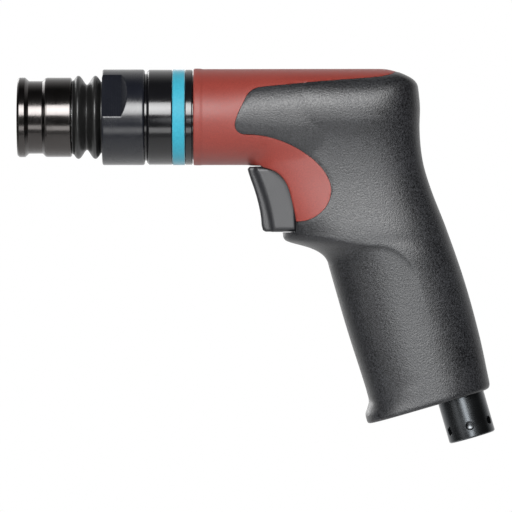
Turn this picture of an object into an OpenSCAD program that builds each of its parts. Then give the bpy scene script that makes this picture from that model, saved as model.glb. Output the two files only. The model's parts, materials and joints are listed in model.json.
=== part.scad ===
// Pistol-grip pneumatic air hammer. Millimetres, +X from the nose to the back,
// +Z up, origin at the mouth of the shank bore on the barrel axis.

/* [Barrel line] */
// Outer diameter of the housing around the barrel
housing_d = 39; // [38.6:0.1:39.4]
// Outer diameter of the front cap and the barrel collar
collar_d = 38.3; // [37.8:0.1:38.4]
// Outer diameter of the retainer sleeve
sleeve_d = 31.8; // [31.4:0.1:32.4]
// Outer diameter of the bellows over its crests
bellows_d = 33.3; // [32.8:0.1:33.6]
// Distance across the two wrench flats of the front cap
flats_w = 33; // [32.5:0.1:34]

/* [Tool socket] */
// Diameter of the shank bore
shank_d = 10.3; // [10.25:0.05:10.4]
// Diameter of the pocket that takes the tool's collar
collar_pocket_d = 16; // [15.6:0.1:16.4]
// Depth of the collar pocket
collar_pocket_depth = 19; // [18.5:0.1:20]
// Diameter of the locking balls
ball_d = 4.4; // [4:0.1:4.4]

/* [Hammer] */
// Diameter of the cylinder bore
bore_d = 19; // [18.6:0.1:19.2]
// Length of the piston
piston_len = 30; // [28:0.5:34]

/* [Trigger] */
// Width of the trigger
trigger_w = 20; // [19:0.2:20.2]
// Travel of the trigger
trigger_travel = 5.5; // [4.5:0.1:5.5]

/* [Grip] */
// Thickness of the soft skin on the handle
skin_t = 2.2; // [1.8:0.1:2.4]
// Half of the handle's width at mid height
grip_half_w = 16.7; // [16.3:0.1:17.1]

/* [Air inlet] */
// Outer diameter of the inlet bushing
inlet_d = 18.9; // [18.4:0.1:19.2]
// Minor diameter of the inlet thread
inlet_thread_d = 11.5; // [11.4:0.05:11.9]
// Length of the bushing that shows below the handle
inlet_show = 16; // [15:0.5:17]

/* [Hidden] */

$fn = 96;
// where the nose lies in the row's frame
nose_x = -collar_pocket_depth;
hr = housing_d / 2;
// the housing behind its front lip
shell_r = hr - 0.22;
// exponent of the squarer section at the housing's rear (2 is round)
rear_square = 2.55;
cr = collar_d / 2;
rake = 16.2;
// axis of the throttle valve and the trigger
throttle_z = -33;
// pocket in the housing that takes the barrel
pocket_r = 16.6;
pocket_end = 137;
// lower end of the inlet bushing, on its axis
inlet_x = 182.1;
inlet_z = -128.2;
// muffler chamber's centre on the base
muffler_x = 156.8;
base_x = 142;
base_z = -122;

// [height, x] of the handle's back and front and [height, half width] of its flanks
back_line = [[-128, 189], [-110, 188.7], [-104, 188.5], [-88, 185], [-66, 179], [-44, 171.4],
    [-28, 165.3], [-18, 162.4], [-6, 160.9], [4, 161.2], [12, 161], [14.4, 159.8], [17.3, 154.8],
    [18.6, 150.8], [19.5, 141]];
front_line = [[-128, 140], [-121.6, 139.8], [-119, 139.3], [-114, 140.7], [-104.4, 138],
    [-85, 132], [-66, 126.4], [-58, 124]];
flank_line = [[-128, 17.4], [-119, 17.2], [-111, 17.0], [-96, 16.75], [-76, grip_half_w],
    [-62, 16.75], [-54, 17.0], [-47, 17.7], [-36, 17.15], [-26, 16.8], [-20, 16.85], [-12, 17.3],
    [-9, 17.65], [-6, 18.35], [0, shell_r - 0.3]];

function step_of(t, p, i = 0) = i >= len(p) - 2 || t <= p[i + 1][0] ? i : step_of(t, p, i + 1);
function rise(p, i) = (p[i + 1][1] - p[i][1]) / (p[i + 1][0] - p[i][0]);
function bend(p, i) = i == 0 ? rise(p, 0)
    : i == len(p) - 1 ? rise(p, i - 1)
    : (rise(p, i - 1) + rise(p, i)) / 2;
function along(t, p) = let (
    i = step_of(t, p), h = p[i + 1][0] - p[i][0], u = (t - p[i][0]) / h,
    a = p[i][1], b = p[i + 1][1], m = bend(p, i) * h, n = bend(p, i + 1) * h)
    (2 * u * u * u - 3 * u * u + 1) * a + (u * u * u - 2 * u * u + u) * m
    + (3 * u * u - 2 * u * u * u) * b + (u * u * u - u * u) * n;

// front of the housing beside and below the trigger
function nose_at(z) = z > -19.8 ? 104
    : z > -26.4 ? 96.5 + 11.3 * pow((-19.8 - z) / 6.6, 0.55)
    : z > -42 ? 107.8 + 3.8 * (-26.4 - z) / 15.6
    : z > -45.9 ? 111.6 - 4.9 * pow((-42 - z) / 3.9, 2)
    : z > -49.4 ? 106.6
    : z > -58 ? 124 - 15.8 * pow((z + 58) / 8.6, 1.9)
    : along(z, front_line);

// one ring of a loft: d is how far it lies inside the outer skin
function ring(z, d, n = 32) = let (
    top = shell_r - d - 0.3, zz = min(z, top - 0.06),
    x0 = nose_at(z) + (z < -19.8 ? d : 0), x1 = along(min(z, 19.5), back_line) - d,
    w = z > 0 ? pow(max(pow(top, rear_square) - pow(zz, rear_square), 0.8), 1 / rear_square)
        : along(z, flank_line) - d,
    c = (x0 + x1) / 2, h = (x1 - x0) / 2,
    k = z > -20 ? 3.4 : z > -60 ? 3.4 + (z + 20) / 40 * 0.9 : 2.5)
    [for (i = [0 : n - 1]) let (a = 360 * (i + 0.5) / n, s = sin(a), q = cos(a))
        [c + h * sign(q) * pow(abs(q), 2 / k), w * sign(s) * pow(abs(s), 2 / k), zz]];

module loft(rings) {
    n = len(rings[0]);
    m = len(rings);
    polyhedron(
        points = [for (r = rings) for (p = r) p],
        faces = concat(
            [[for (i = [0 : n - 1]) i]],
            [for (j = [0 : m - 2]) for (i = [0 : n - 1])
                [j * n + i, (j + 1) * n + i, j * n + (i + 1) % n]],
            [for (j = [0 : m - 2]) for (i = [0 : n - 1])
                [j * n + (i + 1) % n, (j + 1) * n + i, (j + 1) * n + (i + 1) % n]],
            [[for (i = [n - 1 : -1 : 0]) (m - 1) * n + i]]));
}

levels = [-128, -121.6, -119, -116.5, -114, -110, -104, -96, -85, -74, -64, -60.5, -58, -56,
    -54, -52.8, -51.5, -50.3, -49.45, -49.1, -46.4, -45.9, -44, -42, -36, -30, -26.4, -22.5,
    -19.9, -19.2, -12, -9, -6, 0, 5, 9, 12, 14.4, 16, 17.3, 18.3, 19];

// everything below the tilted base plane; d lifts the plane
module under_base(d = 0) {
    translate([base_x, 0, base_z]) rotate([0, -rake, 0]) translate([-60, -60, d - 80])
        cube([160, 120, 80]);
}

module handle_solid(d) {
    difference() {
        loft([for (z = levels) ring(z - (z > 12 ? d * (z - 12) / 7 : 0), d)]);
        under_base(d);
    }
}

module turned() {
    rotate([0, 90, 0]) rotate_extrude() children();
}

module rod(x0, x1, r) {
    translate([x0, 0, 0]) rotate([0, 90, 0]) cylinder(r = r, h = x1 - x0);
}

// frames: the nose's, and the inlet's with +Z up into the handle
module nose() {
    translate([nose_x, 0, 0]) children();
}

module inlet() {
    translate([inlet_x, 0, inlet_z]) rotate([0, -rake, 0]) children();
}

module muffler() {
    translate([muffler_x, 0, base_z + (muffler_x - base_x) * tan(rake)]) rotate([0, -rake, 0])
        children();
}

module barrel_shell(d) {
    rod(70.4 + d / 2, 143, shell_r - d);
    rod(70.4 + d / 2, 73.4, hr - d);
}

module body_solid(d) {
    barrel_shell(d);
    handle_solid(d);
}

// side view of the part of the body that the soft skin covers
module skin_region() {
    rotate([90, 0, 0]) linear_extrude(height = 60, center = true) polygon([
        [151.6, 30], [151.6, 18.4], [149, 16.8], [143.6, 15.6], [124, 14.2], [95.6, 11.4],
        [93.4, 10.6], [91.6, 8.7], [88.7, 2.3], [87.2, -2], [87.6, -4.8], [89.2, -6.5],
        [91.6, -7.3], [96.9, -7.7], [102, -8.6], [108.7, -11], [114.5, -14.2], [119.2, -17.7],
        [122.8, -21.8], [124.8, -25.9], [125.4, -29.4], [124.8, -33], [122.8, -37],
        [118.6, -40.6], [114.5, -41.8], [100, -41.8], [100, -140], [200, -140], [200, 30]]);
}

module trigger_slot() {
    translate([84, -trigger_w / 2 - 0.3, -46.2]) cube([34, trigger_w + 0.6, 26.75]);
}

module exhaust_ducts() {
    for (s = [-1, 1]) {
        translate([0, s * 8.4, -14.6]) rod(90, 122, 1.5);
        translate([121, s * 9.2, -15.5]) rotate([0, 156.5, 0]) cylinder(r = 2, h = 72);
    }
}

module housing() {
    color("firebrick") nose() difference() {
        union() {
            body_solid(skin_t);
            difference() {
                body_solid(0);
                skin_region();
            }
        }
        rod(69, pocket_end, pocket_r);
        rod(69, 84, 17.8);
        rod(87, 94, 17.6);
        rod(69, 71.2, 17.4);
        trigger_slot();
        translate([0, 0, throttle_z]) rod(117, 156, 6.5);
        translate([0, 0, -41.8]) rod(117, 126, 1.5);
        translate([128, 0, throttle_z]) cylinder(r = 3, h = 19);
        inlet() cylinder(r = 4.6, h = 99);
        inlet() cylinder(r = inlet_d / 2 - 0.6, h = inlet_show + 24);
        muffler() translate([0, 0, -5]) cylinder(r = 8.6, h = 50);
        muffler() translate([0, 0, -5]) cylinder(r = 9.8, h = 8);
        exhaust_ducts();
    }
}

module grip() {
    color("dimgray") nose() difference() {
        intersection() {
            body_solid(0);
            skin_region();
        }
        body_solid(skin_t);
        trigger_slot();
        inlet() cylinder(r = inlet_d / 2 + 0.05, h = 40);
        muffler() translate([0, 0, -5]) cylinder(r = 9.8, h = 30);
    }
}

module thread_insert() {
    color("silver") nose() turned() polygon([[16.5, 71.2], [17.8, 71.2], [17.8, 84], [16.5, 84]]);
}

module barrel() {
    color("black") nose() difference() {
        turned() polygon([[bore_d / 2, 45], [15, 45], [15, 51], [17.4, 51], [17.4, 51.9],
            [cr - 0.9, 51.9], [cr - 0.1, 52.7], [cr - 0.1, 61.8], [cr - 0.4, 62.1], [17.5, 62.1],
            [17.5, 67.1], [16.9, 67.1], [16.9, 70.4], [16.5, 71], [16.5, 102], [14.7, 102],
            [14.7, 104.6], [16.5, 104.6], [16.5, 118], [bore_d / 2, 118]]);
        for (a = [0 : 60 : 300]) rotate([a, 0, 0]) translate([90.5, 0, 0]) cylinder(r = 1.5, h = 20);
        translate([0, 0, 13]) rod(112, 119, 1.2);
    }
}

module color_ring() {
    color("deepskyblue") nose() turned() polygon([[17.5, 62.1], [cr - 0.2, 62.1],
        [cr + 0.05, 62.35], [cr + 0.05, 66.85], [cr - 0.2, 67.1], [17.5, 67.1]]);
}

module lock_nut() {
    color("black") nose() turned() polygon([[16.9, 67.1], [cr - 0.4, 67.1], [cr - 0.1, 67.4],
        [cr - 0.1, 69.9], [cr - 0.4, 70.2], [16.9, 70.2]]);
}

module wrench_flat() {
    linear_extrude(height = 40, center = true) polygon([[33, -flats_w / 2], [41.6, -flats_w / 2],
        [44.4, -flats_w / 2 - 2.8], [44.4, -24], [33, -24]]);
}

module front_cap() {
    color("black") nose() difference() {
        turned() polygon([[11.08, 34], [cr - 0.9, 34], [cr - 0.25, 34.3], [cr, 35], [cr, 50.1],
            [cr - 0.9, 51], [15, 51], [15, 38.5], [11.08, 38.5]]);
        for (a = [-30, 150]) rotate([a, 0, 0]) wrench_flat();
    }
}

module tool_holder() {
    color("gray") nose() difference() {
        turned() polygon([[collar_pocket_d / 2 + 0.8, 0], [10.6, 0], [11, 0.5], [11, 0.9],
            [10.3, 0.9], [10.3, 2.05], [11, 2.05], [11, 38.5], [14.4, 38.5], [14.4, 45],
            [bore_d / 2 - 0.05, 45], [bore_d / 2 - 0.05, 50], [shank_d / 2, 50],
            [shank_d / 2, collar_pocket_depth], [collar_pocket_d / 2, collar_pocket_depth],
            [collar_pocket_d / 2, 0.8]]);
        for (a = [0, 120, 240]) rotate([a, 0, 0]) translate([10.5, 0, 4])
            cylinder(r = ball_d / 2 + 0.05, h = 10);
    }
}

module retainer_balls() {
    color("silver") nose() for (a = [0, 120, 240]) rotate([a, 0, 0])
        translate([10.5, 0, 11 - ball_d / 2]) sphere(r = ball_d / 2);
}

module sleeve_snap_ring() {
    color("silver") nose() difference() {
        turned() polygon([[10.3, 0.95], [12, 0.95], [12, 2], [10.3, 2]]);
        translate([0, -2, 5]) cube([4, 4, 12]);
    }
}

module retainer_sleeve() {
    sr = sleeve_d / 2;
    color("dimgray") nose() turned() polygon([[12.4, 0], [sr - 0.7, 0], [sr + 0.1, 0.8],
        [sr + 0.1, 2.9], [sr - 0.2, 3.4], [14.55, 4.7], [14.55, 10], [sr - 0.3, 11.1], [sr, 11.7],
        [sr, 21.3], [sr - 0.5, 21.8], [12.7, 21.8], [12.7, 14.5], [11.08, 14.5], [11.08, 8.8],
        [12.5, 7.6], [12.5, 4.6], [11.08, 3.6], [11.08, 2.3], [12.4, 2.3]]);
}

function wave(x) = pow(0.5 + 0.5 * cos(360 * (x - 24.4) / 6.8), 1.15);

module bellows() {
    br = bellows_d / 2;
    color("black") nose() turned() polygon(concat(
        [[12.6, 21.95], [14.8, 21.95], [14.8, 22.6]],
        [for (x = [22.8 : 0.4 : 33.2]) [13.3 + (br - 13.3) * wave(x), x]],
        [[14.2, 33.6], [14.2, 34], [12.6, 34]],
        [for (x = [32.8 : -0.8 : 23.2]) [12.55 + 2.1 * wave(x), x]]));
}

// a round wire wound along +X
module coil(x0, x1, r, wire, turns, sides = 8, per = 18) {
    m = turns * per;
    pitch = (x1 - x0 - 2 * wire) / turns;
    pts = [for (j = [0 : m]) let (a = 360 * j / per, x = x0 + wire + pitch * j / per)
        for (i = [0 : sides - 1]) let (b = 360 * i / sides, rr = r + wire * cos(b))
            [x + wire * sin(b), rr * cos(a), rr * sin(a)]];
    polyhedron(points = pts, faces = concat(
        [[for (i = [0 : sides - 1]) i]],
        [for (j = [0 : m - 1]) for (i = [0 : sides - 1])
            [j * sides + i, (j + 1) * sides + i, (j + 1) * sides + (i + 1) % sides,
                j * sides + (i + 1) % sides]],
        [[for (i = [sides - 1 : -1 : 0]) m * sides + i]]), convexity = 10);
}

module retainer_spring() {
    color("silver") nose() coil(14.55, 33.95, 11.8, 0.5, 5);
}

module piston() {
    x0 = 50.4;
    r = bore_d / 2 - 0.05;
    color("silver") nose() turned() polygon([[0, x0], [6, x0], [6.6, x0 + 0.6], [6.6, x0 + 4],
        [r - 0.6, x0 + 5], [r, x0 + 6], [r, x0 + 12], [r - 0.5, x0 + 12.4], [r - 0.5, x0 + 14.6],
        [r, x0 + 15], [r, x0 + piston_len - 0.8], [r - 0.8, x0 + piston_len],
        [0, x0 + piston_len]]);
}

module valve_seat() {
    color("silver") nose() difference() {
        turned() polygon([[5, 118], [15.9, 118], [15.9, 121.5], [5, 121.5]]);
        for (a = [30 : 60 : 330]) rotate([a, 0, 0]) translate([0, 0, 7]) rod(117, 122, 0.9);
        translate([0, 0, 13]) rod(117, 123, 1.2);
    }
}

module shuttle_valve() {
    color("gainsboro") nose() turned() polygon([[3, 121.8], [8, 121.8], [8, 124], [5.5, 124],
        [5.5, 127], [3, 127]]);
}

module valve_box() {
    color("gray") nose() difference() {
        turned() polygon([[8.08, 121.5], [15.9, 121.5], [15.9, 125], [13.9, 125], [13.9, 131],
            [15.9, 131], [15.9, 134], [2.5, 134], [2.5, 130.5], [5.58, 130.5], [5.58, 126.2],
            [8.08, 126.2]]);
        for (a = [0 : 90 : 270]) rotate([a + 45, 0, 0]) translate([128, 0, 4])
            cylinder(r = 1.4, h = 12);
        translate([0, 0, 13]) rod(121, 132, 1.2);
    }
}

module valve_dowel() {
    color("silver") nose() translate([0, 0, 13]) rod(112.2, 131.8, 1.2);
}

module rear_buffer() {
    color("black") nose() turned() polygon([[7, 134], [15, 134], [15.6, 135.5], [15, 137], [7, 137]]);
}

module oring(x, r, w) {
    turned() translate([r, x]) circle(r = w, $fn = 32);
}

module barrel_oring() {
    color("black") nose() oring(103.3, 15.65, 0.93);
}

module trigger() {
    h = trigger_w / 2;
    color("dimgray") nose() difference() {
        union() {
            rotate([90, 0, 0]) linear_extrude(height = 2 * h, center = true) polygon([
                [94.4, -19.8], [94.6, -21.6], [97.2, -27.6], [99.4, -34], [101, -40], [101.8, -44.6],
                [102.4, -45.8], [110.6, -45.8], [112, -44.4], [112, -21.2], [110.6, -19.8]]);
            rotate([90, 0, 0]) linear_extrude(height = 2 * h - 3, center = true) polygon([
                [93.2, -19.8], [92, -20.6], [91.9, -21.4], [94.4, -27.6], [96.2, -34],
                [97.4, -40.4], [97.8, -44.4], [98.3, -45.4], [99.2, -45.8], [104, -45.8],
                [104, -19.8]]);
        }
        translate([0, 0, -41.8]) rod(102.5, 114, 1.58);
        translate([108.5, -h + 2.4, -38.2]) cube([5, 2 * h - 4.8, 3]);
        translate([108.5, -h + 2.4, -30.8]) cube([5, 2 * h - 4.8, 7.4]);
    }
}

module trigger_guide_pin() {
    color("silver") nose() translate([0, 0, -41.8]) rod(108.6, 126, 1.5);
}

module throttle_stem() {
    color("silver") nose() translate([0, 0, throttle_z]) {
        rod(112.15, 138.6, 2);
        rod(138.6, 142.4, 1.4);
    }
}

module throttle_valve() {
    color("black") nose() translate([0, 0, throttle_z]) turned() polygon([[1.4, 138.6],
        [3.6, 138.6], [4.6, 139.4], [4.6, 141.6], [1.4, 141.6]]);
}

module throttle_bush() {
    color("goldenrod") nose() translate([0, 0, throttle_z]) difference() {
        turned() polygon([[3.8, 118], [6, 118], [6.5, 118.5], [6.5, 124.6], [5.4, 124.6],
            [5.4, 131.4], [6.5, 131.4], [6.5, 138.3], [3.1, 138.3], [3.1, 135], [3.8, 134.2],
            [3.8, 125], [2.06, 125], [2.06, 121.4], [3.8, 121.4]]);
        for (a = [0 : 90 : 270]) rotate([a, 0, 0]) translate([128, 0, 1]) cylinder(r = 1.6, h = 8);
    }
}

module stem_oring() {
    color("black") nose() translate([0, 0, throttle_z]) oring(120.3, 2.93, 0.85);
}

module throttle_spring() {
    color("silver") nose() translate([0, 0, throttle_z]) coil(141.7, 151.6, 3.3, 0.4, 6, 6, 16);
}

module inlet_bushing() {
    r = inlet_d / 2;
    color("black") nose() inlet() difference() {
        rotate_extrude() polygon([[inlet_thread_d / 2 + 1, 0], [r - 0.5, 0], [r, 0.5],
            [r, inlet_show + 1.8], [r - 0.6, inlet_show + 1.8], [r - 0.6, inlet_show + 12],
            [r - 2.4, inlet_show + 12], [r - 2.4, inlet_show + 14.4], [r - 0.6, inlet_show + 14.4],
            [r - 0.6, inlet_show + 23.5], [4.2, inlet_show + 23.5], [4.2, 17], [5, 17], [5, 15],
            [inlet_thread_d / 2, 15], [inlet_thread_d / 2, 1]]);
        for (a = [0 : 60 : 300]) rotate([0, 0, a]) translate([r - 2, 0, 5]) rotate([0, 90, 0])
            cylinder(r = 1.6, h = 4);
    }
}

module inlet_oring() {
    r = inlet_d / 2;
    color("black") nose() inlet() rotate_extrude() translate([r - 1.52, inlet_show + 13.2])
        circle(r = 0.88, $fn = 32);
}

module inlet_screen() {
    color("silver") nose() inlet() difference() {
        rotate_extrude() polygon([[0, 15.7], [5, 15.7], [5, 17], [0, 17]]);
        for (a = [0 : 60 : 300]) rotate([0, 0, a]) translate([3, 0, 15]) cylinder(r = 0.9, h = 3);
        translate([0, 0, 15]) cylinder(r = 0.9, h = 3);
    }
}

module muffler_core() {
    color("wheat") nose() muffler() rotate_extrude() polygon([[4, 4], [8.4, 4], [8.4, 40], [4, 40]]);
}

module exhaust_cap() {
    color("black") nose() muffler() difference() {
        rotate_extrude() polygon([[0, 0.3], [9, 0.3], [9.6, 0.9], [9.6, 2.9], [0, 2.9]]);
        for (a = [0 : 60 : 300]) rotate([0, 0, a]) translate([5.8, 0, -1]) cylinder(r = 1.6, h = 6);
        translate([0, 0, -1]) cylinder(r = 1.6, h = 6);
    }
}

housing();
grip();
thread_insert();
barrel();
color_ring();
lock_nut();
front_cap();
tool_holder();
retainer_sleeve();
retainer_spring();
retainer_balls();
sleeve_snap_ring();
bellows();
piston();
valve_seat();
shuttle_valve();
valve_box();
valve_dowel();
rear_buffer();
barrel_oring();
trigger();
trigger_guide_pin();
throttle_stem();
throttle_valve();
throttle_bush();
throttle_spring();
stem_oring();
inlet_bushing();
inlet_screen();
inlet_oring();
muffler_core();
exhaust_cap();
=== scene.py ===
import json
import math
import bpy
import numpy as np
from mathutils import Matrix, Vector


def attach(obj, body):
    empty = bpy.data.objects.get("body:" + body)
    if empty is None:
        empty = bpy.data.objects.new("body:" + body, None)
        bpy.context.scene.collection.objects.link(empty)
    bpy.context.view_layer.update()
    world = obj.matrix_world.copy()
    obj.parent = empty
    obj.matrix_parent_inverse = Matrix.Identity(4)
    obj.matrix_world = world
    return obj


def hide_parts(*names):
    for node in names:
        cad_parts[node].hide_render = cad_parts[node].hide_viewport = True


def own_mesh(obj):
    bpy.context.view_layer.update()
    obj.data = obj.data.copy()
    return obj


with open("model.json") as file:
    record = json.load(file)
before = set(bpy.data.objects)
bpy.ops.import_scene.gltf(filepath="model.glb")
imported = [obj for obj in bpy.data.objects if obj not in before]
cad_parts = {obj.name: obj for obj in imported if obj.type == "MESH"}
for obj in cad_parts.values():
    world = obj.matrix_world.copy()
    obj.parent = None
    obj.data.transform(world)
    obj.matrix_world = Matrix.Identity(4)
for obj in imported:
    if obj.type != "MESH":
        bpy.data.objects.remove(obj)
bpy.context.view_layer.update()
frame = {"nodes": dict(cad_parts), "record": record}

# Lengths of the tool are millimetres in the nose's frame, where X runs back from the nose's face.
# NOSE moves them to the row's frame and MM makes them metres. Studio lengths are metres already.
MM = 0.001
NOSE = -19.0
# the inlet and the handle's base lean back by RAKE, and INLET is the (x, z) of the bushing's lower end
RAKE = math.radians(16.2)
INLET = (182.1, -128.2)
# (x, z) of a point on the CAD's base plane, how far below it the Blender base lies, and the muffler's x
BASE = (142, -122.0)
BASE_DROP = 0.25
MUFFLER_X = 156.8
# heights of the throttle's axis and of the trigger's guide pin
THROTTLE_Z = -33.0
GUIDE_PIN_Z = -41.8


# ---------------------------------------------------------------- meshes
def make_object(name, verts, faces, smooth_deg=35.0):
    """verts in the nose's frame, faces an (n, 3) or (n, 4) array."""
    v = (np.asarray(verts, float) + [NOSE, 0, 0]) * MM
    f = np.asarray(faces, np.int32)
    me = bpy.data.meshes.new(name)
    me.vertices.add(len(v))
    me.vertices.foreach_set("co", v.astype(np.float32).ravel())
    n, k = f.shape
    me.loops.add(n * k)
    me.loops.foreach_set("vertex_index", f.ravel())
    me.polygons.add(n)
    me.polygons.foreach_set("loop_start", np.arange(0, n * k, k, dtype=np.int32))
    me.polygons.foreach_set("use_smooth", np.ones(n, bool))
    me.update(calc_edges=True)
    me.validate()
    if smooth_deg:
        me.set_sharp_from_angle(angle=math.radians(smooth_deg))
    ob = bpy.data.objects.new(name, me)
    bpy.context.collection.objects.link(ob)
    return ob


def fillet(points, steps=5):
    """Closed outline of (r, x, radius) corners turned into arcs.

    A support point on each side of an arc keeps the shading of long walls flat.
    """
    out = []
    n = len(points)
    for i in range(n):
        p = np.array(points[i][:2], float)
        a = np.array(points[i - 1][:2], float) - p
        b = np.array(points[(i + 1) % n][:2], float) - p
        la, lb = np.linalg.norm(a), np.linalg.norm(b)
        a, b = a / la, b / lb
        rad = points[i][2] if len(points[i]) > 2 else 0.15
        half = math.acos(max(-1.0, min(1.0, float(a @ b)))) / 2
        if rad <= 0 or half > math.radians(88):
            out.append(p)
            continue
        reach = min(rad / math.tan(half), 0.46 * la, 0.46 * lb)
        rad = reach * math.tan(half)
        mid = p + (a + b) / np.linalg.norm(a + b) * rad / math.sin(half)
        s, e = p + a * reach, p + b * reach
        lead = min(0.3, 0.2 * la)
        if la > 1.2:
            out.append(s + a * lead)
        for k in range(steps + 1):
            t = k / steps
            w = (s - mid) * (1 - t) + (e - mid) * t
            out.append(mid + w / np.linalg.norm(w) * rad)
        if lb > 1.2:
            out.append(e + b * min(0.3, 0.2 * lb))
    return np.array(out)


def angles(seg):
    return np.arange(seg) / seg * 2 * math.pi


def ring_faces(rows, seg):
    """Quads of a closed grid: rings of seg points, with the last ring joined to the first."""
    i, j = np.meshgrid(np.arange(rows), np.arange(seg), indexing="ij")
    i2, j2 = (i + 1) % rows, (j + 1) % seg
    corners = [i * seg + j, i * seg + j2, i2 * seg + j2, i2 * seg + j]
    return np.stack(corners, -1).reshape(-1, 4)


def lathe(name, outline, seg=144, smooth_deg=50.0):
    """A closed outline of (r, x) turned round the X axis."""
    p = np.asarray(outline, float)
    area = np.sum(p[:, 0] * np.roll(p[:, 1], -1) - np.roll(p[:, 0], -1) * p[:, 1])
    if area < 0:
        p = p[::-1]
    th = angles(seg)
    r, x = p[:, 0][:, None], p[:, 1][:, None]
    v = np.stack([np.broadcast_to(x, (len(p), seg)), r * np.cos(th), r * np.sin(th)], -1)
    return make_object(name, v.reshape(-1, 3), ring_faces(len(p), seg), smooth_deg)


def drill(ob, cutters):
    """Cut the cutter objects out of ob, then drop them."""
    for c in cutters:
        m = ob.modifiers.new("cut", "BOOLEAN")
        m.operation, m.solver, m.object = "DIFFERENCE", "EXACT", c
    bpy.context.view_layer.update()
    deps = bpy.context.evaluated_depsgraph_get()
    me = bpy.data.meshes.new_from_object(ob.evaluated_get(deps))
    ob.modifiers.clear()
    old, ob.data = ob.data, me
    me.name = ob.name
    bpy.data.meshes.remove(old)
    for c in cutters:
        d = c.data
        bpy.data.objects.remove(c)
        bpy.data.meshes.remove(d)
    me.polygons.foreach_set("use_smooth", np.ones(len(me.polygons), bool))
    me.set_sharp_from_angle(angle=math.radians(40))
    return ob


def plug(start, direction, prof, seg=40):
    """A cutter: (distance, radius) rings along a direction, capped."""
    at = np.array(start, float)
    d = np.array(direction, float)
    d /= np.linalg.norm(d)
    # any vector that isn't parallel to a direction used here gives the ring's plane
    u = np.cross(d, [0.31, 0.9, 0.2])
    u /= np.linalg.norm(u)
    w = np.cross(d, u)
    th = angles(seg)
    ring = np.cos(th)[:, None] * u + np.sin(th)[:, None] * w
    v = [at + d * t + ring * r for t, r in prof]
    v += [(at + d * prof[0][0])[None], (at + d * prof[-1][0])[None]]
    m = len(prof)
    q = []
    for i in range(m - 1):
        for j in range(seg):
            j2 = (j + 1) % seg
            q.append((i * seg + j, i * seg + j2, (i + 1) * seg + j2))
            q.append((i * seg + j, (i + 1) * seg + j2, (i + 1) * seg + j))
    for j in range(seg):
        j2 = (j + 1) % seg
        q.append((m * seg, j2, j))
        q.append((m * seg + 1, (m - 1) * seg + j, (m - 1) * seg + j2))
    return make_object("cutter", np.concatenate(v), np.array(q), 0)


def helix(name, x0, x1, r, wire, turns, z=0.0, per=40, sides=12):
    """A round wire wound along X, with closed ends."""
    m = turns * per
    j = np.arange(m + 1)
    a = 2 * math.pi * j / per
    x = x0 + wire + (x1 - x0 - 2 * wire) * j / m
    b = 2 * math.pi * np.arange(sides) / sides
    rr = r + wire * np.cos(b)[None, :]
    v = np.stack([x[:, None] + wire * np.sin(b)[None, :], rr * np.cos(a)[:, None],
                  rr * np.sin(a)[:, None] + z], -1).reshape(-1, 3)
    ends = np.array([[x[0], r, z], [x[-1], r * math.cos(a[-1]), r * math.sin(a[-1]) + z]])
    v = np.concatenate([v, ends])
    f = []
    for i in range(m):
        for s in range(sides):
            s2 = (s + 1) % sides
            f.append((i * sides + s, (i + 1) * sides + s, (i + 1) * sides + s2))
            f.append((i * sides + s, (i + 1) * sides + s2, i * sides + s2))
    for s in range(sides):
        s2 = (s + 1) % sides
        f.append((len(v) - 2, s, s2))
        f.append((len(v) - 1, m * sides + s2, m * sides + s))
    return make_object(name, v, np.array(f), 0)


# ---------------------------------------------------------------- curves and distance fields
def through(t, pts):
    """Smooth curve through (t, value) points, evaluated at t."""
    p = np.array(sorted(pts), float)
    t = np.clip(np.asarray(t, float), p[0, 0], p[-1, 0])
    s = np.diff(p[:, 1]) / np.diff(p[:, 0])
    m = np.concatenate([[s[0]], (s[:-1] + s[1:]) / 2, [s[-1]]])
    i = np.clip(np.searchsorted(p[:, 0], t) - 1, 0, len(p) - 2)
    h = p[i + 1, 0] - p[i, 0]
    u = (t - p[i, 0]) / h
    return ((2 * u**3 - 3 * u**2 + 1) * p[i, 1] + (u**3 - 2 * u**2 + u) * m[i] * h
            + (3 * u**2 - 2 * u**3) * p[i + 1, 1] + (u**3 - u**2) * m[i + 1] * h)


def loop_through(pts, steps=8, closed=True):
    """Catmull-Rom curve through 2-D points."""
    p = np.array(pts, float)
    n = len(p)
    out = []
    for i in range(n if closed else n - 1):
        if closed:
            a, b, c, d = p[i - 1], p[i], p[(i + 1) % n], p[(i + 2) % n]
        else:
            a, b, c, d = p[max(i - 1, 0)], p[i], p[i + 1], p[min(i + 2, n - 1)]
        for k in range(steps):
            t = k / steps
            out.append(0.5 * (2 * b + (c - a) * t + (2 * a - 5 * b + 4 * c - d) * t**2
                              + (3 * b - a - 3 * c + d) * t**3))
    if not closed:
        out.append(p[-1])
    return np.array(out)


def polygon_distance(x, z, poly):
    """Signed distance to a closed 2-D polygon, negative inside."""
    best = np.full(np.broadcast(x, z).shape, 1e9)
    inside = np.zeros(best.shape, bool)
    n = len(poly)
    for i in range(n):
        ax, az = poly[i]
        bx, bz = poly[(i + 1) % n]
        ex, ez = bx - ax, bz - az
        t = np.clip(((x - ax) * ex + (z - az) * ez) / (ex * ex + ez * ez + 1e-12), 0, 1)
        best = np.minimum(best, (x - ax - t * ex) ** 2 + (z - az - t * ez) ** 2)
        if az != bz:
            cross = ((az > z) != (bz > z)) & (x < (bx - ax) * (z - az) / (bz - az) + ax)
            inside ^= cross
    d = np.sqrt(best)
    return np.where(inside, -d, d)


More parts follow.
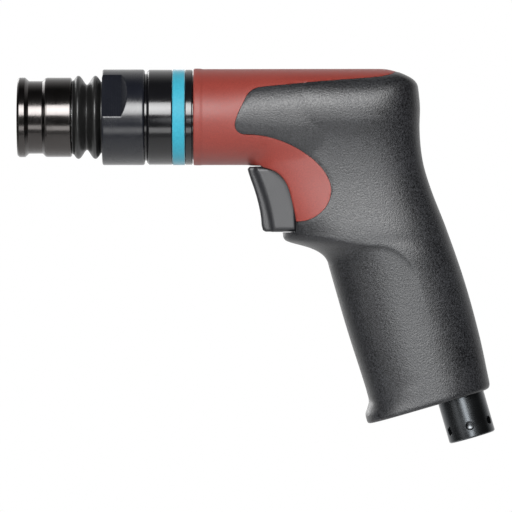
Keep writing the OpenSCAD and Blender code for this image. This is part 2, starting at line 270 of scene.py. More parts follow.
def line_distance(x, z, line):
    """Distance to an open polyline, with the sign of its right-hand side positive."""
    best = np.full(np.broadcast(x, z).shape, 1e9)
    side = np.zeros(best.shape)
    for (ax, az), (bx, bz) in zip(line[:-1], line[1:]):
        ex, ez = bx - ax, bz - az
        t = np.clip(((x - ax) * ex + (z - az) * ez) / (ex * ex + ez * ez + 1e-12), 0, 1)
        d = (x - ax - t * ex) ** 2 + (z - az - t * ez) ** 2
        near = d < best - 1e-9
        best = np.where(near, d, best)
        side = np.where(near, (z - az) * ex - (x - ax) * ez, side)
    return np.sqrt(best) * np.where(side < 0, 1.0, -1.0)


def smooth_min(a, b, k):
    h = np.maximum(k - np.abs(a - b), 0) / np.maximum(k, 1e-6)
    return np.minimum(a, b) - h * h * k * 0.25


def smooth_max(a, b, k):
    return -smooth_min(-a, -b, k)


def ease(t):
    t = np.clip(t, 0, 1)
    return t * t * (3 - 2 * t)


def slope(f, h):
    return [g.astype(np.float32) for g in np.gradient(f, h)]


def edge_crossings(F, inside, parts, grads, axis, origin, h):
    """Where F changes sign along one axis: the edges, whether each starts inside, and point and normal."""
    lo = [slice(None)] * 3
    hi = [slice(None)] * 3
    lo[axis], hi[axis] = slice(0, -1), slice(1, None)
    starts_inside = inside[tuple(lo)]
    e = np.argwhere(starts_inside != inside[tuple(hi)])
    keep = np.ones(len(e), bool)
    for k in range(3):
        if k != axis:
            keep &= (e[:, k] > 0) & (e[:, k] < F.shape[k] - 1)
    e = e[keep]
    end = e.copy()
    end[:, axis] += 1
    f0, f1 = F[tuple(e.T)], F[tuple(end.T)]
    t = f0 / (f0 - f1)
    pos = e.astype(float)
    pos[:, axis] += t
    pos = origin + pos * h
    # the part nearest zero gives the normal
    which = np.argmin([np.abs(p[tuple(e.T)] * (1 - t) + p[tuple(end.T)] * t) for p in parts], 0)
    nrm = np.zeros((len(e), 3))
    for q, g in enumerate(grads):
        s = which == q
        for k in range(3):
            nrm[s, k] = g[k][tuple(e[s].T)] * (1 - t[s]) + g[k][tuple(end[s].T)] * t[s]
    nrm /= np.linalg.norm(nrm, axis=1)[:, None] + 1e-9
    return e, starts_inside[tuple(e.T)], np.concatenate([pos, nrm], 1)


def cell_points(cells, rows, cell_shape, origin, h):
    """One point per cell, where the planes of its crossings meet best, held inside the cell."""
    used, inv = np.unique(cells, return_inverse=True)
    n = len(used)
    P, N = rows[:, :3], rows[:, 3:]
    count = np.bincount(inv, minlength=n).astype(float)
    mean = np.stack([np.bincount(inv, P[:, k], n) / count for k in range(3)], 1)
    rel = P - mean[inv]
    dot = (N * rel).sum(1)
    ata = np.zeros((n, 3, 3))
    atb = np.zeros((n, 3))
    for i in range(3):
        atb[:, i] = np.bincount(inv, N[:, i] * dot, n)
        for j in range(i, 3):
            ata[:, i, j] = ata[:, j, i] = np.bincount(inv, N[:, i] * N[:, j], n)
    # a light pull towards the mean keeps flat cells from drifting
    ata += np.eye(3) * 0.08
    at = mean + np.linalg.solve(ata, atb[:, :, None])[:, :, 0]
    corner = np.stack(np.unravel_index(used, cell_shape), 1) * h + origin
    return used, np.clip(at, corner - 0.02 * h, corner + 1.02 * h)


def contour(F, parts, axes, h):
    """Dual contouring of F = 0 on a regular grid, as points and quads. F is a mix of the parts."""
    F = np.where(F == 0, 1e-6, F)
    inside = F < 0
    grads = [slope(p, h) for p in parts]
    cell_shape = tuple(s - 1 for s in F.shape)
    strides = np.array([cell_shape[1] * cell_shape[2], cell_shape[2], 1])
    origin = np.array([a[0] for a in axes])
    cells, rows, quads = [], [], []
    for axis in range(3):
        e, flip, found = edge_crossings(F, inside, parts, grads, axis, origin, h)
        p0, p1 = [k for k in range(3) if k != axis]
        around = []
        for d0, d1 in ((0, 0), (-1, 0), (-1, -1), (0, -1)):
            c = e.copy()
            c[:, p0] += d0
            c[:, p1] += d1
            around.append(c @ strides)
            rows.append(found)
        cells += around
        around = np.stack(around, 1)
        if axis == 1:
            flip = ~flip
        around[~flip] = around[~flip][:, ::-1]
        quads.append(around)
    cells, rows, quads = np.concatenate(cells), np.concatenate(rows), np.concatenate(quads)
    used, points = cell_points(cells, rows, cell_shape, origin, h)
    return points, np.searchsorted(used, quads)


# ---------------------------------------------------------------- the pistol body
# the handle's back and front as (height, x)
BACK = [(-128, 189.2), (-110, 188.9), (-106.5, 188.8), (-104, 188.3), (-88, 184.9), (-66, 178.9),
        (-44, 171.3), (-28, 165.1), (-18, 162.2), (-6, 160.9), (4, 161.1), (12, 161.2), (20, 161.2)]
FRONT = [(-128, 140.2), (-121.6, 139.9), (-119, 139.4), (-116.5, 140.1), (-114, 140.7),
         (-110, 139.9), (-104.4, 138.2), (-85, 132.0), (-66, 126.5), (-60, 124.8), (-57.4, 124.0),
         (-55.3, 122.4), (-53.6, 120.0), (-52.2, 116.8), (-51.2, 113.4), (-50.4, 110.4),
         (-49.6, 108.0), (-48.6, 106.8), (-46.4, 106.2), (-42, 104), (-36, 101), (-28, 97.5),
         (-20, 95), (20, 95)]
# its half width as (height, y), and the exponent of its section, where 2 is round
FLANK = [(-128, 17.4), (-119, 17.2), (-111, 17.0), (-96, 16.8), (-80, 16.85), (-66, 17.2),
         (-54, 17.65), (-47, 17.75), (-36, 17.15), (-26, 16.8), (-20, 16.85), (-16, 17.0),
         (-12, 17.3), (-8, 17.8), (-6, 18.2), (-4, 18.7), (-2, 19.1), (0, 19.28), (20, 19.28)]
SQUARE = [(-128, 2.6), (-112, 2.4), (-80, 2.3), (-62, 2.4), (-52, 2.6), (-44, 2.75), (-24, 2.95),
          (-8, 3.15), (3, 3.2), (9, 3.7), (14, 5.2), (18, 7.5), (20, 8)]
# upper edge of the finger recess on the flank, from the spur to where it fades on the handle
CREASE = [(100, -47.0), (108, -47.0), (116, -47.3), (123, -48.3), (131, -50.4), (139, -51.5),
          (145, -51.6), (149.5, -52.7), (153.2, -54.9), (156.4, -57.8), (158.6, -61.4),
          (160.6, -67), (163.6, -76), (166.2, -87), (167.4, -97)]
# line on the flank where the flare of the base starts
VALLEY = [(136, -120.5), (142.4, -116.9), (147, -113.8), (150.4, -111.5), (154, -109.2), (159, -106.4)]
# side view of the border between the red shell and the black skin, and the skin's other corners
BORDER = [(151.9, 18.6), (150.6, 17.5), (148.6, 16.75), (145, 16.0), (139, 15.4), (124, 14.3),
          (110, 13.0), (98, 11.8), (95.2, 11.2), (93.2, 10.0), (91.7, 8.0), (90.2, 5.0), (88.4, 1.2),
          (87.3, -2.0), (87.2, -4.4), (88.3, -6.3), (90.6, -7.2), (94.5, -7.4), (99, -8.0),
          (104, -9.3), (109.2, -11.4), (114.2, -14.2), (118.8, -17.6), (122.3, -21.4),
          (124.6, -25.4), (125.4, -29.2), (124.8, -33.2), (122.6, -37.0), (119, -40.0),
          (115, -41.6), (111, -41.9)]
SKIN_CORNERS = [(96, -41.9), (96, -150), (210, -150), (210, 40), (153.5, 40), (153.0, 22)]
# rear edge of the trigger opening, seen from the side, and the opening's other corners
MOUTH = [(84, -19.35), (92, -19.4), (96.4, -19.9), (100, -20.7), (103.4, -22.1), (106, -24.4),
         (107.9, -27.4), (109.1, -31), (110.3, -36), (111.3, -41), (111.6, -44), (111.4, -46.1)]
MOUTH_CORNERS = [(106.3, -46.12), (60, -46.12), (60, -19.35)]
# barrel part of the shell: its radius, and how far the lip at its front stands proud
SHELL_R = 19.28
LIP = 0.22
SHELL_FRONT = 70.45
# the black skin's thickness, its height over the red at the seam, and the gap between the two
SKIN = 2.2
PROUD = 0.12
GAP = 0.05


def finger_recess(x2, z2):
    """Depth of the recess: a sharp upper edge that softens on its way down the handle."""
    t = line_distance(x2, z2, loop_through(CREASE, 5, False))
    soft = 0.85 + 2.4 * ease((142 - x2) / 20) + 6.0 * ease((-60 - z2) / 34)
    depth = (0.40 + 1.0 * ease((153 - x2) / 30)) * ease((z2 + 104) / 46) * ease((x2 - 98) / 12)
    recess = depth * (1 - np.exp(-np.maximum(t, 0) / soft))
    recess *= 0.25 + 0.75 * np.exp(-np.maximum(-52 - z2, 0) / 26)
    return recess


def base_flare(x2, z2):
    """How much wider the handle gets towards the base."""
    v = line_distance(x2, z2, loop_through(VALLEY, 5, False))
    return 0.6 * (1 - np.exp(-np.maximum(v, 0) / 2.2)) * ease((163 - x2) / 18)


def barrel_exponent(X):
    """The barrel part is round at the front and a little squarer towards the back."""
    return (2.0 + 0.3 * ease((X - 80) / 22) + 0.35 * ease((X - 96) / 26)).astype(np.float32)


def handle_field(x, z, grid, h):
    """Handle and rear cap: a rounded section at each height, scaled to be nearly a distance."""
    X, Y, Z = grid
    x2, z2 = x[:, None], z[None, :]
    x0, x1 = through(z, FRONT), through(z, BACK)
    cx, hx = (x0 + x1) / 2, (x1 - x0) / 2
    recess = finger_recess(x2, z2)
    width = through(z, FLANK)[None, :] - recess + base_flare(x2, z2)
    power = through(z, SQUARE)[None, :] - 0.45 * np.clip(recess / 2.0, 0, 1)
    k = power[:, None, :].astype(np.float32)
    u = (np.abs(x2 - cx[None, :]) / hx[None, :])[:, None, :].astype(np.float32)
    w = width[:, None, :].astype(np.float32)
    full = barrel_exponent(X)
    q = (np.abs(Y) ** full + np.maximum(Z, 0) ** full) ** (1 / full) / w
    g = (u**k + q**k) ** (1 / k)
    grow = np.sqrt((u ** (k - 1) / hx[None, None, :]) ** 2 + (q ** (k - 1) / w) ** 2)
    grow = grow * np.maximum(g, 1e-3) ** (1 - k)
    handle = (g - 1) / np.maximum(grow, 1e-3)
    handle = np.clip(handle, -30, 30).astype(np.float32)
    s = slope(handle, h)
    steep = np.sqrt(s[0] ** 2 + s[1] ** 2 + s[2] ** 2)
    handle = handle / np.clip(steep, 1.0, 6.0)
    # the rear cap's upper corner is cut off at a slant
    return smooth_max(handle, (0.447 * X + 0.894 * Z - 84.35).astype(np.float32), 2.4)


def tube_field(X, Y, Z):
    """Barrel part of the shell, with the proud lip at its front; it tapers away inside the handle."""
    full = barrel_exponent(X)
    radius = SHELL_R + LIP * (1 - ease((X - 73.2) / 0.8)) - 1.4 * ease((X - 112) / 17)
    tube = (np.abs(Y) ** full + np.abs(Z) ** full) ** (1 / full) - radius
    tube = smooth_max(tube, SHELL_FRONT - X, 0.7)
    return np.maximum(tube, X - 131.0)


def outer_field(x, z, grid, h):
    """Outside of the whole body."""
    X, Y, Z = grid
    blend = 3.4 * ease((-Z - 1) / 12) * (1 - ease((X - 110) / 20))
    outer = smooth_min(tube_field(X, Y, Z), handle_field(x, z, grid, h), blend)
    base = (X - BASE[0]) * math.sin(RAKE) - (Z - (BASE[1] - BASE_DROP)) * math.cos(RAKE)
    outer = smooth_max(outer, base.astype(np.float32), 1.8)
    opening = np.concatenate([loop_through(MOUTH, 6, False), MOUTH_CORNERS])
    cut = polygon_distance(x[:, None], z[None, :], opening)[:, None, :]
    return smooth_max(outer, -cut.astype(np.float32), 0.6)


def rod_along_x(grid, height, radius, middle, half):
    X, Y, Z = grid
    return np.maximum(np.sqrt(Y**2 + (Z - height) ** 2) - radius, np.abs(X - middle) - half)


def leaning_bores(grid, at, bores):
    """(radius, depth) bores on the axis that starts at (x, z) and leans back by RAKE."""
    X, Y, Z = grid
    sx, sz = -math.sin(RAKE), math.cos(RAKE)
    s = (X - at[0]) * sx + (Z - at[1]) * sz
    r = np.sqrt(((X - at[0]) * sz - (Z - at[1]) * sx) ** 2 + Y**2)
    return [np.maximum(r - radius, s - depth) for radius, depth in bores]


def hollow_field(grid):
    """All that is cut out of the body, with the parts' own room round them."""
    X, Y, Z = grid
    slot = np.maximum(np.maximum(np.abs(X - 100) - 18.0, np.abs(Y) - 10.3), np.abs(Z + 32.75) - 13.4)
    muffler = (MUFFLER_X, BASE[1] + (MUFFLER_X - BASE[0]) * math.tan(RAKE))
    cavities = [
        np.maximum(np.sqrt(Y**2 + Z**2) - 16.65, X - 137.0),
        np.maximum(np.sqrt(Y**2 + Z**2) - 17.85, X - 84.1),
        rod_along_x(grid, THROTTLE_Z, 6.5, 136.5, 19.5),
        rod_along_x(grid, GUIDE_PIN_Z, 1.5, 121.5, 4.5),
        *leaning_bores(grid, INLET, [(9.5, 18.2), (8.85, 40), (4.6, 99)]),
        *leaning_bores(grid, muffler, [(9.8, 3), (8.6, 45)]),
    ]
    hollow = slot
    for c in cavities:
        hollow = np.minimum(hollow, c)
    return hollow


def body_fields(h):
    """The grid's axes, and on it the body's outside, the side view of the skin, and the cavities."""
    x = np.arange(67.0, 192.0, h, dtype=np.float32)
    z = np.arange(-126.5, 21.6, h, dtype=np.float32)
    half = np.arange(h / 2, 22.0, h, dtype=np.float32)
    grid = x[:, None, None], half[None, :, None], z[None, None, :]
    outer = outer_field(x, z, grid, h)
    region = np.concatenate([loop_through(BORDER, 6, False), SKIN_CORNERS])
    dark = polygon_distance(x[:, None], z[None, :], region)[:, None, :].astype(np.float32)
    mirrored = []
    for f in (outer, dark, hollow_field(grid)):
        f = np.broadcast_to(f, outer.shape)
        mirrored.append(np.concatenate([f[:, ::-1], f], 1).astype(np.float32))
    y = np.concatenate([-half[::-1], half])
    return (x, y, z), mirrored


def body_meshes(h):
    """The red shell, which runs on under the black skin, and the skin."""
    axes, (out, dark, hole) = body_fields(h)
    # the seam between the two materials is cut square to the surface
    lean = sum(a * b for a, b in zip(slope(out, h), slope(dark, h)))
    dark = dark - lean * np.clip(out, -3.0, 3.0)
    parts = [out, -dark + GAP, out + SKIN + GAP, -hole]
    mix = np.maximum(np.minimum(np.maximum(parts[0], parts[1]), parts[2]), parts[3])
    red_mesh = contour(mix, parts, axes, h)
    parts = [out - PROUD * ease(-dark / 1.6), dark + GAP, -out - SKIN + GAP, -hole]
    mix = np.maximum(np.maximum(parts[0], parts[1]), np.maximum(parts[2], parts[3]))
    return red_mesh, contour(mix, parts, axes, h)


shell_mesh, skin_mesh = body_meshes(0.55)
housing = make_object("housing_shell", *shell_mesh, 38)
grip = make_object("grip_skin", *skin_mesh, 38)


# ---------------------------------------------------------------- trigger
# curved fronts of the trigger's body and of its narrower pad, and their other corners, as (x, z)
LEVER_FRONT = [(94.9, -21.6), (97.2, -27.4), (99.2, -33.4), (100.7, -39.4), (101.5, -44.0)]
LEVER_CORNERS = [(102.1, -45.97), (111.2, -45.97), (112, -45.2), (112, -20.6), (111.2, -19.8),
                 (95.4, -19.8)]
PAD_FRONT = [(92.1, -20.9), (93.2, -24.4), (94.7, -28.6), (96.1, -33.4), (97.2, -38.6), (97.7, -43.4)]
PAD_CORNERS = [(98.2, -45.2), (99.4, -45.97), (106, -45.97), (106, -19.8), (93, -19.8)]


def rounded_extrusion(d2, y, half, r):
    """A side view's distance field extruded to a half width, with edges of radius r."""
    a, b = d2 + r, np.abs(y) - half + r
    return np.sqrt(np.maximum(a, 0) ** 2 + np.maximum(b, 0) ** 2) + np.minimum(np.maximum(a, b), 0) - r


def trigger_mesh(h):
    x = np.arange(90.0, 114.0, h)
    y = np.arange(-11.0 + h / 2, 11.0, h)
    z = np.arange(-47.0, -18.6, h)
    X, Y, Z = x[:, None, None], y[None, :, None], z[None, None, :]

    def side_view(front, corners):
        outline = np.concatenate([loop_through(front, 5, False), corners])
        return polygon_distance(x[:, None], z[None, :], outline)[:, None, :]

    lever = rounded_extrusion(side_view(LEVER_FRONT, LEVER_CORNERS), Y, 10.0, 1.9)
    pad = rounded_extrusion(side_view(PAD_FRONT, PAD_CORNERS), Y, 8.7, 1.15)
    body = smooth_min(lever, pad, 1.3)
    # the blend of the two may not swell past the trigger's top and bottom
    body = smooth_max(body, np.abs(Z + 32.885) - 13.085, 0.4)
    # hole of the guide pin, and two hollows behind the face
    pin = np.maximum(np.sqrt(Y**2 + (Z - GUIDE_PIN_Z) ** 2) - 1.6, 102.5 - X)
    core = np.maximum(np.abs(Y) - 7.6, 108.5 - X)
    low = np.maximum(core, np.abs(Z + 36.7) - 1.5)
    high = np.maximum(core, np.abs(Z + 27.1) - 3.7)
    hollow = np.broadcast_to(np.minimum(np.minimum(pin, low), high), body.shape)
    parts = [body.astype(np.float32), -hollow.astype(np.float32)]
    return contour(np.maximum(parts[0], parts[1]), parts, (x, y, z), h)


trigger = make_object("trigger_lever", *trigger_mesh(0.35), 40)


# ---------------------------------------------------------------- turned pieces
# points round the turned pieces that show most
FINE = 192
# the bellows' two folds: distance from crest to crest, and where the first crest is
FOLD = 6.8
FIRST_CREST = 24.4


def sleeve_mesh():
    return lathe("sleeve_turned", fillet([
        (12.4, 0, 0.3), (15.3, 0, 0.7), (15.95, 0.9, 0.5), (15.95, 3.1, 0.45), (14.55, 4.6, 0.5),
        (14.55, 10.1, 0.5), (15.75, 11.3, 0.5), (15.9, 12.2, 0.6), (15.9, 21.3, 0.4),
        (15.4, 21.8, 0.25), (12.7, 21.8, 0.2), (12.7, 14.5, 0.1), (11.08, 14.5, 0.1),
        (11.08, 8.8, 0.1), (12.5, 7.6, 0.1), (12.5, 4.6, 0.1), (11.08, 3.6, 0.1),
        (11.08, 2.3, 0.1), (12.4, 2.3, 0.1)]), FINE)


def bellows_outline():
    xs = np.arange(22.7, 33.45, 0.12)
    crest = np.cos(2 * math.pi * (xs - FIRST_CREST) / FOLD) * 0.5 + 0.5
    outer = list(zip(13.05 + 3.6 * crest ** 0.8, xs))
    inner = []
    for x in np.arange(33.2, 22.7, -0.3):
        wave = 0.5 + 0.5 * math.cos(2 * math.pi * (x - FIRST_CREST) / FOLD)
        inner.append((12.5 + 2.3 * wave ** 1.1, x))
    front = [(12.5, 21.95), (14.5, 21.95), (14.8, 22.1), (14.8, 22.45)]
    rear = [(14.2, 33.6), (14.3, 33.95), (12.5, 33.95)]
    return front + outer + rear + inner


def barrel_mesh():
    """Cylinder with its collar, thread, seal groove and six exhaust ports."""
    ob = lathe("barrel_turned", fillet([
        (9.5, 45, 0.1), (15, 45, 0.2), (15, 51, 0.1), (17.4, 51, 0.1), (17.4, 51.9, 0.1),
        (18.2, 51.9, 0.2), (19.05, 52.8, 0.4), (19.05, 61.7, 0.25), (18.7, 62.08, 0.1),
        (17.5, 62.08, 0.1), (17.5, 67.1, 0.1), (16.9, 67.1, 0.1), (16.9, 70.4, 0.1),
        (16.5, 71, 0.1), (16.5, 102, 0.1), (14.7, 102, 0.1), (14.7, 104.6, 0.1),
        (16.5, 104.6, 0.1), (16.5, 118, 0.2), (9.5, 118, 0.1)]), FINE)
    ports = [plug((90.5, 0, 0), (0, math.cos(a), math.sin(a)), [(8, 1.5), (18, 1.5)])
             for a in np.arange(6) * math.pi / 3]
    return drill(ob, ports)


def ring_mesh():
    return lathe("ring_cyan", fillet([
        (17.5, 62.14, 0.1), (18.95, 62.14, 0.3), (19.16, 62.4, 0.2), (19.16, 66.8, 0.2),
        (18.95, 67.06, 0.3), (17.5, 67.06, 0.1)]), FINE)


def nut_mesh():
    return lathe("lock_nut_turned", fillet([
        (16.95, 67.12, 0.1), (18.7, 67.12, 0.25), (19.05, 67.5, 0.25), (19.05, 69.75, 0.25),
        (18.75, 70.1, 0.2), (16.95, 70.1, 0.1)]), FINE)


def cap_mesh():
    """Front cap: a turned outline whose outer radius is limited by two opposite wrench flats."""
    seg = 480
    th = angles(seg)
    rows = []

    def limit(r, x):
        d = 16.5 + max(0.0, x - 41.7) * 1.02
        c = np.maximum(np.cos(th - math.radians(150)), np.cos(th - math.radians(330)))
        flat = d / np.maximum(c, 0.2)
        return smooth_min(np.full(seg, r), flat, 0.12)

    def add(r, x):
        rows.append((r + 0 * th, x + 0 * th))

    quarter = np.linspace(0, math.pi / 2, 7)
    rim = limit(18.3, 34.0)
    for f in (0.0, 0.05, 0.3, 0.6, 0.85, 0.97):
        add(11.1 + f * (rim - 11.1), 34.0)
    for a in quarter:
        r, x = 18.35 + 0.8 * math.sin(a), 34.8 - 0.8 * math.cos(a)
        add(limit(r, x), x)
    # the rings are closest together where the flats run out
    for x in np.concatenate([np.arange(35.1, 41.2, 0.5), np.arange(41.3, 44.9, 0.12),
                             np.arange(45.2, 50.0, 0.6)]):
        add(limit(19.15, x), x)
    for a in quarter:
        add(18.25 + 0.9 * math.cos(a), 50.1 + 0.9 * math.sin(a))
    for r, x in ((18.0, 51.0), (15.3, 51.0), (15.05, 51.0), (15.05, 50.8), (15.05, 38.8),
                 (15.05, 38.5), (14.8, 38.5), (11.3, 38.5), (11.1, 38.5), (11.1, 38.3), (11.1, 34.2)):
        add(r, x)
    v = np.stack([np.stack([x, r * np.cos(th), r * np.sin(th)], -1) for r, x in rows]).reshape(-1, 3)
    return make_object("front_cap_nut", v, ring_faces(len(rows), seg)[:, ::-1], 22)


def inlet_mesh():
    """Inlet bushing: turned outside, a helical thread inside and six blind holes for a pin spanner."""
    seg = 240
    th = angles(seg)
    out = fillet([
        (7.0, 0, 0.25), (9.0, 0, 0.35), (9.45, 0.5, 0.3), (9.45, 17.8, 0.1), (8.85, 17.8, 0.1),
        (8.85, 28, 0.1), (7.05, 28, 0.1), (7.05, 30.4, 0.1), (8.85, 30.4, 0.1), (8.85, 39.5, 0.2),
        (4.2, 39.5, 0.2), (4.2, 17, 0.1), (5, 17, 0.1), (5, 15, 0.1), (5.75, 15, 0.0)])
    rows = [(np.full(seg, r), np.full(seg, t)) for r, t in out]
    # thread: its pitch, and the height where it starts
    pitch = 1.337
    top = 14.6
    for t in np.arange(top, 1.0, -0.11):
        ph = (t / pitch - th / (2 * math.pi)) % 1.0
        crest = np.clip(1.35 * (1 - 2 * np.abs(ph - 0.5)) - 0.15, 0, 1)
        fade = min(1.0, (top - t) / 1.2, (t - 0.6) / 1.2)
        rows.append((5.75 + 0.72 * crest * fade, np.full(seg, t)))
    v = np.stack([np.stack([r * np.cos(th), r * np.sin(th), t], -1) for r, t in rows]).reshape(-1, 3)
    c, s = math.cos(RAKE), math.sin(RAKE)
    place = np.stack([v[:, 0] * c - v[:, 2] * s + INLET[0], v[:, 1],
                      v[:, 0] * s + v[:, 2] * c + INLET[1]], 1)
    ob = make_object("inlet_bushing_turned", place, ring_faces(len(rows), seg), 35)
    up = np.array([-s, 0, c])
    at = np.array([INLET[0], 0, INLET[1]]) + up * 5.0
    side, across = np.array([c, 0, s]), np.array([0, 1.0, 0])
    holes = []
    for k in range(6):
        a = math.radians(30 + 60 * k)
        rings = [(7.45, 0.9), (7.8, 1.55), (9.2, 1.6), (9.5, 1.95), (12, 1.95)]
        holes.append(plug(at, side * math.cos(a) + across * math.sin(a), rings))
    return drill(ob, holes)


sleeve = sleeve_mesh()
bellows = lathe("bellows_boot", bellows_outline(), 144, 60)
barrel = barrel_mesh()
ring = ring_mesh()
nut = nut_mesh()
cap = cap_mesh()
inlet = inlet_mesh()
spring = helix("retainer_spring_wire", 14.55, 33.95, 11.8, 0.5, 5)
throttle_spring = helix("throttle_spring_wire", 141.7, 151.6, 3.3, 0.4, 6, z=THROTTLE_Z)


# ---------------------------------------------------------------- materials
class Shade:
    """A node material: its inputs are set by name, and each method adds a few nodes."""

    def __init__(self, name):
        self.m = bpy.data.materials.new(name)
        self.m.use_nodes = True
        self.t = self.m.node_tree
        self.b = self.t.nodes["Principled BSDF"]
        self.co = self.t.nodes.new("ShaderNodeTexCoord").outputs["Object"]

    def node(self, kind, **values):
        n = self.t.nodes.new(kind)
        for k, v in values.items():
            if k in n.inputs:
                n.inputs[k].default_value = v
            else:
                setattr(n, k, v)
        return n

    def link(self, a, b):
        self.t.links.new(a, b)

    def set(self, **values):
        for k, v in values.items():
            self.b.inputs[k.replace("_", " ")].default_value = v
        return self

    def noise(self, scale, detail=3.0, rough=0.5, vector=None, dims="3D"):
        n = self.node("ShaderNodeTexNoise", noise_dimensions=dims, Scale=scale, Detail=detail,
                      Roughness=rough)
        if dims == "1D":
            self.link(vector, n.inputs["W"])
        else:
            self.link(vector or self.co, n.inputs["Vector"])
        return n.outputs["Fac"]

    def cells(self, scale, smooth=0.6):
        n = self.node("ShaderNodeTexVoronoi", feature="SMOOTH_F1", Scale=scale, Smoothness=smooth)
        self.link(self.co, n.inputs["Vector"])
        return n.outputs["Distance"]

    def ramp(self, src, stops):
        n = self.node("ShaderNodeValToRGB")
        e = n.color_ramp.elements
        while len(e) < len(stops):
            e.new(0.5)
        for s, (p, c) in zip(e, stops):
            s.position = p
            s.color = (c, c, c, 1) if isinstance(c, float) else (*c, 1)
        self.link(src, n.inputs["Fac"])
        return n.outputs["Color"]

    def span(self, src, lo, hi, a=0.0, b=1.0):
        n = self.node("ShaderNodeMapRange")
        for k, v in (("From Min", a), ("From Max", b), ("To Min", lo), ("To Max", hi)):
            n.inputs[k].default_value = v
        self.link(src, n.inputs["Value"])
        return n.outputs["Result"]

    def math(self, op, a, b):
        n = self.node("ShaderNodeMath", operation=op)
        for s, v in zip(n.inputs, (a, b)):
            if isinstance(v, (int, float)):
                s.default_value = v
            else:
                self.link(v, s)
        return n.outputs[0]

    def along(self, axis):
        """How far a point lies along an axis, for turning marks."""
        n = self.node("ShaderNodeVectorMath", operation="DOT_PRODUCT")
        self.link(self.co, n.inputs[0])
        n.inputs[1].default_value = axis
        return n.outputs["Value"]

    def bump(self, height, strength, distance):
        n = self.node("ShaderNodeBump", Strength=strength, Distance=distance)
        self.link(height, n.inputs["Height"])
        self.link(n.outputs["Normal"], self.b.inputs["Normal"])
        return self

    def colour(self, src):
        self.link(src, self.b.inputs["Base Color"])
        return self

    def rough(self, src):
        self.link(src, self.b.inputs["Roughness"])
        return self


def grained(name, dark, light, rough, grain, strength, scale=1900.0):
    """Moulded plastic or elastomer with a spark-eroded grain.

    It has fine pits, a little colour variation and soft blotches. grain is the bump's distance in metres.
    """
    s = Shade(name)
    fine = s.noise(scale, 2.0, 0.6)
    pits = s.cells(scale * 0.9)
    broad = s.noise(38.0, 3.0, 0.5)
    mix = s.math("ADD", s.math("MULTIPLY", fine, 0.75), s.math("MULTIPLY", broad, 0.25))
    s.colour(s.ramp(mix, [(0.36, dark), (0.64, light)]))
    r = s.math("ADD", s.span(fine, rough[0], rough[1], 0.3, 0.7), s.span(broad, -0.03, 0.03, 0.3, 0.7))
    s.rough(r)
    height = s.math("ADD", s.math("MULTIPLY", fine, 0.8), s.math("MULTIPLY", pits, 0.4))
    s.bump(height, strength, grain)
    return s


def turned_metal(name, dark, light, rough, axis=(1, 0, 0), marks=0.000012, metallic=1.0, pitch=5200.0):
    """Machined metal: fine rings about the axis, small smudges and a light stain."""
    s = Shade(name)
    pos = s.along(axis)
    rings = s.noise(pitch, 3.0, 0.6, pos, "1D")
    smudge = s.noise(120.0, 4.0, 0.55)
    blotch = s.noise(24.0, 3.0, 0.5)
    tone = s.math("ADD", s.math("MULTIPLY", blotch, 0.6), s.math("MULTIPLY", rings, 0.4))
    s.colour(s.ramp(tone, [(0.35, dark), (0.65, light)]))
    dull = s.span(smudge, rough[0], rough[1], 0.3, 0.7)
    s.rough(s.math("ADD", dull, s.span(rings, -0.03, 0.03, 0.3, 0.7)))
    s.bump(rings, 0.5, marks)
    s.set(Metallic=metallic)
    return s


# plastics and rubbers: darkest and lightest colour, roughness range, grain depth, its strength and scale
red = grained("red_composite", (0.158, 0.0185, 0.012), (0.215, 0.029, 0.0195),
              (0.43, 0.56), 0.00005, 0.32, 2100.0)
red.set(IOR=1.5)
black = grained("black_elastomer", (0.002, 0.002, 0.0025), (0.025, 0.026, 0.029),
                (0.30, 0.50), 0.0001, 1.0, 1700.0)
black.set(IOR=1.5)
grey = grained("trigger_plastic", (0.008, 0.008, 0.010), (0.015, 0.016, 0.018),
               (0.38, 0.48), 0.00004, 0.25, 1700.0)
cyan = grained("cyan_plastic", (0.020, 0.24, 0.33), (0.034, 0.29, 0.39),
               (0.50, 0.60), 0.00003, 0.2, 1500.0)
cyan.set(Sheen_Weight=1.0, Sheen_Roughness=0.3, Specular_IOR_Level=0.25)
rubber = grained("black_rubber", (0.004, 0.004, 0.004), (0.008, 0.008, 0.008),
                 (0.32, 0.42), 0.00003, 0.25, 900.0)
# metals: darkest and lightest colour, roughness range; black_steel and blue_black_metal are coatings,
# so they aren't metallic
burnished = turned_metal("burnished_steel", (0.050, 0.0465, 0.045), (0.075, 0.070, 0.068), (0.14, 0.22))
gloss_black = turned_metal("black_steel", (0.002, 0.002, 0.0025), (0.004, 0.004, 0.005),
                           (0.12, 0.18), metallic=0.0, marks=0.000006)
blue_black = turned_metal("blue_black_metal", (0.003, 0.0035, 0.006), (0.006, 0.007, 0.011),
                          (0.20, 0.28), metallic=0.0, marks=0.00001)
bushing_black = turned_metal("bushing_black", (0.062, 0.066, 0.070), (0.088, 0.093, 0.098), (0.22, 0.30),
                             axis=(-math.sin(RAKE), 0, math.cos(RAKE)), metallic=1.0)
bright = turned_metal("bright_steel", (0.42, 0.42, 0.43), (0.60, 0.60, 0.61), (0.22, 0.34))
wire = turned_metal("spring_steel", (0.30, 0.30, 0.31), (0.48, 0.48, 0.49), (0.28, 0.42), pitch=1800.0)
ball = turned_metal("ball_steel", (0.60, 0.60, 0.62), (0.72, 0.72, 0.74), (0.08, 0.16))
alu = turned_metal("aluminium", (0.60, 0.60, 0.61), (0.75, 0.75, 0.76), (0.25, 0.4))
brass = turned_metal("brass", (0.55, 0.36, 0.13), (0.72, 0.50, 0.20), (0.22, 0.36))
felt = grained("felt", (0.40, 0.36, 0.28), (0.56, 0.52, 0.42), (0.85, 0.95), 0.00012, 0.8, 2600.0)
felt.set(Sheen_Weight=0.2)

